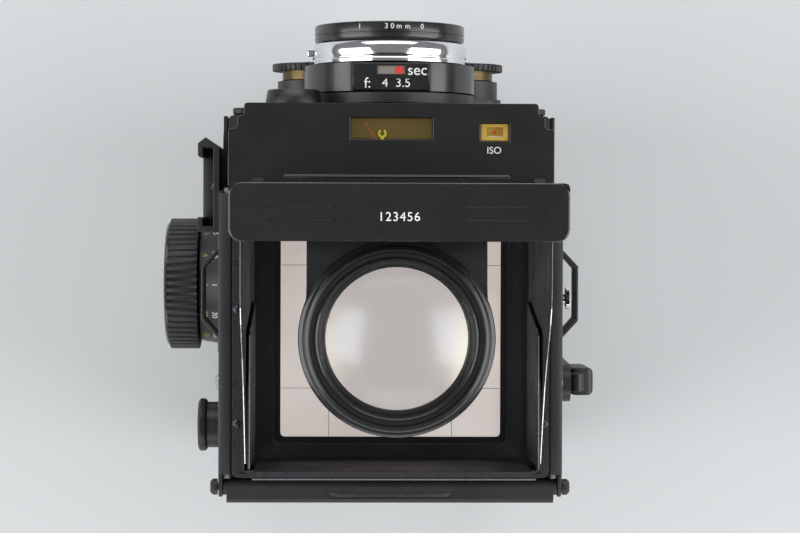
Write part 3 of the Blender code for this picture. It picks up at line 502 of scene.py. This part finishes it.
def lenses():
    ring = [
        (15.7, -49.6), (16.1, -50.5), (16.4, -50.75), (17.4, -50.75), (17.75, -50.55), (17.95, -50.1),
        (18.2, -49.75), (18.2, -47.3), (18.05, -47.1), (18.05, -46.8), (18.2, -46.6), (18.1, -45.9),
        (17.9, -45.75), (15.7, -45.75),
    ]
    tab = block(17.9, 19.3, -49.4, -47.8, VIEWING_Z + 1.2, VIEWING_Z + 3.2, 0.2)
    piece("viewing_ring", [turned(ring, "y", (0, VIEWING_Z)), tab], CHROME, "lens_standard",
          ["viewing_bayonet"])
    ring = [
        (17.1, -49.6), (17.35, -50.1), (17.6, -50.2), (17.9, -50.2), (18.15, -50.0), (18.3, -49.6),
        (18.3, -46.2), (18.15, -45.85), (18.0, -45.75), (17.1, -45.75),
    ]
    piece("taking_ring", turned(ring, "y", (0, TAKING_Z)), CHROME, "lens_standard",
          ["taking_bayonet"])
    rim = [
        (14.3, -52.6), (14.6, -53.2), (14.5, -53.5), (14.9, -54.1), (14.8, -54.4), (15.2, -54.9),
        (15.6, -55.05), (17.3, -55.05), (17.6, -54.9), (17.7, -54.6),
        (17.7, -52.7), (17.45, -52.6), (17.45, -52.3), (17.7, -52.2), (17.7, -51.6), (17.4, -51.05),
        (14.3, -51.05),
    ]
    piece("filter_rim", turned(rim, "y", (0, VIEWING_Z)), GLOSS, "lens_standard",
          ["filter_ring"])
    pane = [(0, -53.3), (13.8, -53.3), (14.2, -53.0), (14.2, -51.9), (13.8, -51.6), (0, -51.6)]
    piece("filter_pane", turned(pane, "y", (0, VIEWING_Z)), FILTER, "lens_standard",
          ["filter_glass"])
    barrel = [
        (12.4, -46.8), (12.8, -47.0), (13.6, -47.0), (14.0, -46.6), (14.4, -46.6), (15.2, -46.3),
        (15.2, -36.2), (13.4, -36.2), (12.4, -37.4),
    ]
    piece("viewing_tube", turned(barrel, "y", (0, VIEWING_Z)), MATT, "lens_standard",
          ["viewing_barrel"])
    dome = [(0, -44.6)] + [(VIEWING_GLASS_R * k, -44.6 + 4.0 * k * k) for k in (0.2, 0.4, 0.6, 0.8, 0.95)]
    dome += [(VIEWING_GLASS_R, -40.6), (VIEWING_GLASS_R, -38.0), (0, -38.0)]
    piece("viewing_element", turned(dome, "y", (0, VIEWING_Z)), VIEW_GLASS, "lens_standard",
          ["viewing_glass"], 50)
    barrel = [
        (11.6, -46.0), (12.0, -46.7), (12.3, -46.7), (12.7, -47.4), (13.0, -47.4), (13.5, -48.3),
        (14.0, -48.6), (15.0, -48.8), (15.6, -48.4), (16.9, -45.8), (16.9, -38.9), (12.2, -38.9),
        (12.2, -34.5), (10.8, -34.5), (11.6, -38.0),
    ]
    piece("taking_tube", turned(barrel, "y", (0, TAKING_Z)), MATT, "lens_standard",
          ["taking_barrel"])
    dome = [(0, -44.2)] + [(TAKING_GLASS_R * k, -44.2 + 3.6 * k * k) for k in (0.2, 0.4, 0.6, 0.8, 0.95)]
    dome += [(TAKING_GLASS_R, -40.6), (TAKING_GLASS_R, -38.6), (0, -38.6)]
    piece("taking_element", turned(dome, "y", (0, TAKING_Z)), TAKE_GLASS, "lens_standard",
          ["taking_glass"], 50)
    for z, radius, name in ((VIEWING_Z, 12.0, "viewing_stop"), (TAKING_Z, 11.0, "taking_stop")):
        piece(name, tube(radius * 0.62, radius, -37.9, -37.6, "y", (0, z)), MATT, "lens_standard")
    piece("shutter_leaves", [rod(9.0, -37.4, -37.1, "y", (0, TAKING_Z))], GREY, "lens_standard")


def lens_markings():
    # Red patch, digits and marks on the readout panel, seen from above
    piece("readout_red", block(-2.9, -0.9, -44.4, -42.8, 126.75, 126.8), RED, "lens_standard")
    piece("readout_window_a", block(-3.15, 3.15, -44.55, -42.65, 126.7, 126.74), WINDOW_GREY, "lens_standard")
    piece("readout_window_b", block(-5.15, 3.15, -41.55, -39.65, 126.7, 126.74), GLOSS, "lens_standard")
    words("mark_sec", "sec", 3.5, facing_up(-6.0, -43.5, READOUT_TOP), WHITE, "lens_standard")
    words("mark_f", "f:", 3.4, facing_up(5.4, -40.5, READOUT_TOP), WHITE, "lens_standard")
    words("mark_stops", "4  3.5", 2.9, facing_up(-1.2, -40.6, 126.8), WHITE, "lens_standard")
    # Small marks round the top of the filter's rim
    marks = ((-24, "1"), (-3.5, "3"), (1.0, "0"), (6.0, "m"), (12.5, "m"), (24, "0"))
    for index, (angle, text) in enumerate(marks):
        turn = Matrix.Translation((0, 0, VIEWING_Z)) @ Matrix.Rotation(math.radians(-angle), 4, "Y")
        turn = turn @ Matrix.Translation((0, -53.8, 17.7)) @ Matrix.Rotation(math.pi, 4, "Z")
        words(f"rim_mark_{index}", text, 1.7, turn, WHITE, "lens_standard")


def wheels():
    for side, name in ((1, "shutter_wheel"), (-1, "aperture_wheel")):
        centre = (side * WHEEL_X, WHEEL_Z)
        rim = prism(toothed(centre, 9.3, 8.95, 40), "y", -47.5, -45.8, 0.15)
        neck = rod(6.8, -46.0, -43.6, "y", centre, 64)
        piece(f"{name}_rim", rim, SATIN, name, [name])
        piece(f"{name}_neck", neck, BRASSY, name)
        face = [(0, -47.62), (5.4, -47.62), (5.9, -47.55), (6.3, -47.4), (0, -47.4)]
        piece(f"{name}_face", turned(face, "y", centre), GREY, name)
        boss = [(0, -48.2), (1.7, -48.2), (2.0, -47.9), (2.0, -47.5), (0, -47.5)]
        piece(f"{name}_screw", turned(boss, "y", centre, 48), STEEL, name)


# Magnifier ------------------------------------------------------------------------------------


def magnifier():
    py, pz = MAGNIFIER_PIVOT
    ring = [
        (14.45, 188.9), (14.7, 188.2), (15.6, 187.7), (16.2, 187.6), (19.0, 187.6), (19.6, 187.8),
        (20.0, 188.4), (20.0, 190.1), (19.8, 190.8), (19.3, 191.15), (18.95, 191.2), (18.8, 191.75),
        (18.5, 192.1), (18.05, 192.25), (17.7, 192.15), (17.5, 191.8), (17.35, 191.35), (16.6, 191.25),
        (16.45, 191.7), (16.1, 191.95), (15.7, 191.85), (15.45, 191.4), (15.2, 190.9), (14.75, 190.8),
        (14.45, 190.4),
    ]
    rim = turned(ring, "z", (0, MAGNIFIER_Y), 128)
    y0 = py + 0.6
    neck = [(-18.3, y0), (18.3, y0)]
    neck += [(18.3, 4.0)] + [(18.3 + 0.9 * t * t, 4.0 + 8.5 * t) for t in (0.25, 0.5, 0.75, 1.0)]
    back = []
    for i in range(13):
        angle = math.radians(-8 - 164 * i / 12)
        back.append((15.4 * math.cos(angle), MAGNIFIER_Y + 15.4 * math.sin(angle)))
    neck += back
    neck += [(-18.3 - 0.9 * t * t, 4.0 + 8.5 * t) for t in (1.0, 0.75, 0.5, 0.25)] + [(-18.3, 4.0)]
    plate = prism(neck, "z", pz - 0.4, pz + 0.6, 0.2)
    pivot = tube(0.75, 1.5, -18.3, 18.3, "x", (py, pz), 32)
    field = [(-9.8, -6.8), (9.8, -6.8), (8.6, -4.6), (-8.6, -4.6)]
    emboss = prism(field, "z", pz + 0.55, pz + 1.1, 0.18)
    piece("magnifier_frame", [rim, plate, pivot, emboss], GLOSS, "magnifier",
          ["magnifier_plate"], 30)
    # A lens that is domed on both faces
    steps = (0.15, 0.3, 0.45, 0.6, 0.75, 0.9, 1.0)
    profile = [(0, 187.4)]
    profile += [(MAGNIFIER_GLASS_R * k, 187.4 + 1.8 * k * k) for k in steps]
    profile += [(MAGNIFIER_GLASS_R * k, 192.4 - 2.0 * k * k) for k in reversed(steps)]
    profile += [(0, 192.4)]
    piece("magnifier_element", turned(profile, "z", (0, MAGNIFIER_Y), 128), MAG_GLASS, "magnifier",
          ["magnifier_lens"], 60)


# Hood -----------------------------------------------------------------------------------------


def ribbon(points, x0, x1, lift=0.05, thick=0.08):
    """A bright worn edge that follows (y, z) points on the edge of a sheet."""
    solids = []
    for (ya, za), (yb, zb) in zip(points, points[1:]):
        run = Vector((yb - ya, zb - za))
        if run.length < 1e-6:
            continue
        up = Vector((-run.y, run.x)).normalized()
        a = Vector((ya, za)) + up * (lift - thick)
        b = Vector((yb, zb)) + up * (lift - thick)
        c = Vector((yb, zb)) + up * lift
        d = Vector((ya, za)) + up * lift
        solids.append(prism([tuple(a), tuple(b), tuple(c), tuple(d)], "x", min(x0, x1), max(x0, x1)))
    return solids


def hood_details():
    for side, name in ((1, "hood_side_left"), (-1, "hood_side_right")):
        z = SIDE_PIVOT_Z[side]
        top = [(-12.7, z + 12.0), (-5.6, 185.0), (5.0, 185.0), (9.0, 183.8), (12.5, 181.4), (16.0, 178.0)]
        top += [(20.0, 173.8), (26.0, 168.6), (34.0, 163.5), (43.4, 158.5)]
        inner = [(13.8, 166.5), (15.2, 168.6), (43.4, 170.0)]
        piece(f"{name}_edge", ribbon(top, side * 31.8, side * 31.98), BARE, name)
        piece(f"{name}_inner_edge", ribbon(inner, side * 30.42, side * 30.62), BARE, name)
        # The hinge along the foot
        hinge = rod(0.85, -12.0, 43.2, "y", (side * SIDE_PIVOT_X, z), 32, 0.1)
        piece(f"{name}_hinge", hinge, SATIN, name)
    piece("rear_panel_edge", block(-29.9, 29.9, 45.5, 45.7, 169.98, 170.05), BARE, "hood_rear_panel")
    piece("rear_panel_flange", block(-29.2, 29.2, 43.95, 44.95, 169.99, 170.05), GREY, "hood_rear_panel")
    # Strips over the seams between the casting and its side plates
    for side, name in ((1, "left"), (-1, "right")):
        strip = block(*sorted((side * 36.25, side * 38.9)), -15.2, 48.4, 133.6, 134.12, 0.1)
        piece(f"shoulder_strip_{name}", strip, SHEEN, "camera")
        knuckle = rod(1.85, *sorted((side * 36.9, side * 38.0)), "x", DOOR_HINGE, 40, 0.1)
        piece(f"door_knuckle_{name}", knuckle, SATIN, "door")
    # Plate on the door's top edge, with a ribbed field
    plate = [(-14.2, 52.75), (-13.3, 53.85), (13.3, 53.85), (14.2, 52.75)]
    ribs = [block(x - 0.25, x + 0.25, 52.95, 53.7, 131.85, 132.0, 0.05) for x in range(-12, 13)]
    piece("door_plate", [prism(plate, "z", 131.78, 131.9, 0.04)] + ribs, GREY, "door")
    # Raised fold behind the hood's foot
    fold = block(-34.1, 34.1, 48.0, 48.3, 135.1, 136.3, 0.1)
    piece("hood_fold_rear", fold, CRINKLE, "camera")
    # Screws of the hood's frame
    for index, (x, y) in enumerate(((34.75, 36.7), (34.75, 11.0), (-34.75, 36.7), (-34.75, 11.0))):
        head = [(0, 135.1), (0.85, 135.1), (0.85, 135.4), (0.6, 135.62), (0, 135.68)]
        slot = block(x - 0.7, x + 0.7, y - 0.1, y + 0.1, 135.5, 135.7)
        piece(f"hood_screw_{index}", turned(head, "z", (x, y), 32), GREY, "camera")
        piece(f"hood_screw_{index}_slot", slot, MATT, "camera")
    # Lines of the screen's grid
    lines = []
    half = 24.9
    thin = 0.06
    low = SCREEN_TOP - 0.01
    high = SCREEN_TOP + 0.02
    for offset in (-14.0, 14.0):
        y = SCREEN_Y + offset
        lines.append(block(offset - thin, offset + thin, SCREEN_Y - half, SCREEN_Y + half, low, high))
        lines.append(block(-half, half, y - thin, y + thin, low, high))
    piece("screen_grid", lines, WINDOW_GREY, "camera")


def lid_details():
    words("serial_digits", "123456", 2.5, facing_up(0.05, -9.6, LIP_TOP), WHITE, "hood_lid", spacing=1.12)
    for side in (1, -1):
        for y in (-11.6, -9.0):
            x0, x1 = sorted((side * 12.6, side * 25.4))
            across = "left" if side > 0 else "right"
            along = "front" if y < -10 else "rear"
            floor = block(x0, x1, y - 0.3, y + 0.3, LIP_TOP - 0.3, LIP_TOP - 0.24)
            piece(f"lip_groove_{across}_{along}", floor, MATT, "hood_lid")


# Meter ----------------------------------------------------------------------------------------


def meter_details():
    piece("meter_field_plate", block(-9.6, 9.6, -32.6, -27.2, 127.3, 127.6), OLIVE, "camera")
    piece("speed_dot", rod(0.4, 131.2, 131.35, "z", (-23.4, -29.2)), RED, "camera")
    piece("speed_frame", block(-25.2, -21.6, -28.4, -28.15, 131.2, 131.6), WHITE, "camera")
    words("mark_speed", "ISO", 2.2, facing_up(-23.2, -25.0, SHOULDER_Z - 0.2), WHITE, "camera")
    bezel = [
        (0, -36.6), (3.9, -36.6), (4.3, -36.9), (4.3, -38.4), (4.6, -38.75), (5.4, -39.1),
        (5.8, -39.05), (6.05, -38.8), (6.5, -36.1), (6.5, -35.95), (0, -35.95),
    ]
    piece("cell_bezel", turned(bezel, "y", CELL_AT), DARK_METAL, "camera", ["cds_bezel"])
    piece("cell_window", rod(4.2, -37.3, -36.65, "y", CELL_AT, 64, 0.2), PANE, "camera")
    x, z = CELL_AT
    bars = []
    for offset in (-2.4, -1.2, 0.0, 1.2, 2.4):
        bars.append(block(x - 3.6, x + 3.6, -36.7, -36.62, z + offset - 0.18, z + offset + 0.18))
    piece("cell_grid", bars, BRASSY, "camera")


# Knobs and crank ------------------------------------------------------------------------------


def shoe_details():
    """The stop at the foot of the accessory shoe, and its spring leaf's rivets."""
    piece("shoe_stop", block(40.5, 44.0, -26.6, -7.4, 106.1, 107.3, 0.1), SATIN, "camera")
    rivets = [rod(0.6, 40.5, 40.95, "x", (-17.0, z), 24, 0.1) for z in (111.0, 121.0)]
    piece("shoe_rivets", rivets, STEEL, "camera")


def knobs():
    y, z = FOCUS_AXIS
    ribs = prism(toothed((y, z), 16.45, 15.95, 56), "x", 46.9, 54.2, 0.25)
    face = [
        (0, 53.8), (15.5, 53.8), (15.5, 54.6), (15.1, 55.0), (14.7, 55.1), (11.8, 55.1), (11.4, 54.9),
        (11.0, 54.5), (0, 54.5),
    ]
    piece("focus_knob_ribs", ribs, SATIN, "focus_knob", ["focus_knob"])
    piece("focus_knob_face", turned(face, "x", (y, z)), GLOSS, "focus_knob")
    cone = [(0, 39.3), (14.6, 39.3), (15.4, 40.4), (15.3, 40.7), (14.3, 46.3), (13.9, 46.6), (0, 46.6)]
    piece("distance_cone", turned(cone, "x", (y, z)), SATIN, "focus_knob", ["distance_scale"])
    # Distances round the cone, in two colours
    marks = ("1", "1.2", "1.5", "2", "2.5", "3", "4", "5", "7", "10", "15", "30")
    slope = Matrix.Rotation(math.radians(10), 4, "Y") @ Matrix.Rotation(math.pi / 2, 4, "Z")
    rows = ((42.6, 14.98, WHITE, 1.0), (45.0, 14.55, OCHRE, 3.3))
    for row, (x, radius, material, factor) in enumerate(rows):
        for index, mark in enumerate(marks):
            angle = 2 * math.pi * index / len(marks)
            text = mark if factor == 1.0 else f"{float(mark) * factor:.0f}"
            spin = Matrix.Translation((0, y, z)) @ Matrix.Rotation(angle, 4, "X")
            turn = spin @ Matrix.Translation((x, 0, radius)) @ slope
            words(f"distance_{row}_{index}", text, 1.9, turn, material, "focus_knob", 0.1)
    shaft = [
        (0, 29.6), (2.6, 29.6), (2.6, 39.3), (5.4, 39.3), (5.4, 42.7), (6.0, 43.0), (6.2, 43.3),
        (6.2, 44.4), (5.9, 44.75), (5.5, 44.9), (0, 44.9),
    ]
    for place, centre in SPOOLS:
        node = f"spool_knob_{place}"
        piece(f"spool_pull_{place}", turned(shaft, "x", centre), SATIN, node, [node])


def crank():
    y, z = CRANK_AXIS
    plate = [
        (0, -39.25), (18.8, -39.25), (18.8, -40.0), (18.6, -40.3), (17.5, -41.1), (17.1, -41.25),
        (10.0, -41.25), (9.6, -40.65), (0, -40.65),
    ]
    piece("crank_cover", turned(plate, "x", CRANK_AXIS), SATIN, "camera", ["crank_plate"])
    hub = [(0, -41.0), (8.6, -41.0), (8.6, -43.8), (8.3, -44.3), (7.7, -44.7), (0, -44.7)]
    outline = arc((y, z), 5.5, 180, 360, 30) + arc((y, z + 26.0), 4.6, 0, 180, 24)
    arm = prism(outline, "x", -45.0, -42.4, 0.3)
    screw = [(0, -45.6), (2.2, -45.6), (2.7, -45.3), (2.8, -44.9), (0, -44.9)]
    piece("crank_lever", [turned(hub, "x", (y, z)), arm], SATIN, "crank", ["crank_arm"])
    piece("crank_screw", turned(screw, "x", (y, z), 48), STEEL, "crank")


# Studio, in metres ------------------------------------------------------------------------------

FLOOR_HALF = 6.0
LIGHT_AIM = (0, 0, 0.1)
# Each lamp's name, place, width and height, and power in watts
SOFTBOXES = (
    ("left", (0.75, 0.1, 0.65), (0.7, 0.9), 7.5),
    ("right", (-0.75, 0.1, 0.65), (0.7, 0.9), 7.5),
    ("front", (0.0, -0.85, 0.6), (1.1, 0.6), 5.0),
    ("rear", (0.0, 0.95, 0.5), (1.1, 0.5), 3.5),
)
CAMERA_PLACE = (0.0114, -0.00771, 0.661)
CAMERA_AIM = (-0.002, 0.00125, 0.134)
CAMERA_ROLL = 0.2
LENS_MM = 105.0
SENSOR_MM = 36.0


def area(name, place, aim, size, power):
    light = bpy.data.lights.new(name, "AREA")
    light.shape = "RECTANGLE"
    light.size, light.size_y = size
    light.energy = power
    lamp = bpy.data.objects.new(name, light)
    bpy.context.scene.collection.objects.link(lamp)
    lamp.location = place
    lamp.rotation_euler = (Vector(aim) - Vector(place)).to_track_quat("-Z", "Y").to_euler()


def studio():
    bm = bmesh.new()
    bmesh.ops.create_grid(bm, x_segments=1, y_segments=1, size=FLOOR_HALF)
    mesh = bpy.data.meshes.new("floor")
    bm.to_mesh(mesh)
    bm.free()
    backdrop = Shade("floor_paper", (0.56, 0.58, 0.59), 0.85)
    shades = [(0.3, (0.55, 0.565, 0.57)), (0.7, (0.575, 0.59, 0.6))]
    backdrop.vary("Base Color", backdrop.noise(3.0, 2.0), shades)
    mesh.materials.append(backdrop.material)
    floor = bpy.data.objects.new("floor", mesh)
    bpy.context.scene.collection.objects.link(floor)
    world = bpy.data.worlds.new("studio")
    world.use_nodes = True
    sky = world.node_tree.nodes["Background"].inputs
    sky["Color"].default_value = (0.95, 0.98, 1.0, 1.0)
    sky["Strength"].default_value = 0.25
    bpy.context.scene.world = world
    for name, place, size, power in SOFTBOXES:
        area(f"softbox_{name}", place, LIGHT_AIM, size, power)
    bpy.context.scene.view_settings.view_transform = "Standard"


def camera():
    made = bpy.data.cameras.new("view")
    made.lens = LENS_MM
    made.sensor_width = SENSOR_MM
    made.clip_start = 0.01
    made.clip_end = 50.0
    place = Vector(CAMERA_PLACE)
    back = (place - Vector(CAMERA_AIM)).normalized()
    picture_top = Vector((0, -1, 0))
    right = picture_top.cross(back).normalized()
    up = back.cross(right)
    turn = Matrix((right, up, back)).transposed().to_4x4()
    roll = Matrix.Rotation(math.radians(CAMERA_ROLL), 4, "Z")
    obj = bpy.data.objects.new("view", made)
    obj.matrix_world = Matrix.Translation(place) @ turn @ roll
    bpy.context.scene.collection.objects.link(obj)
    bpy.context.scene.camera = obj


dress_nodes()
lenses()
lens_markings()
wheels()
magnifier()
hood_details()
lid_details()
meter_details()
shoe_details()
knobs()
crank()
studio()
camera()
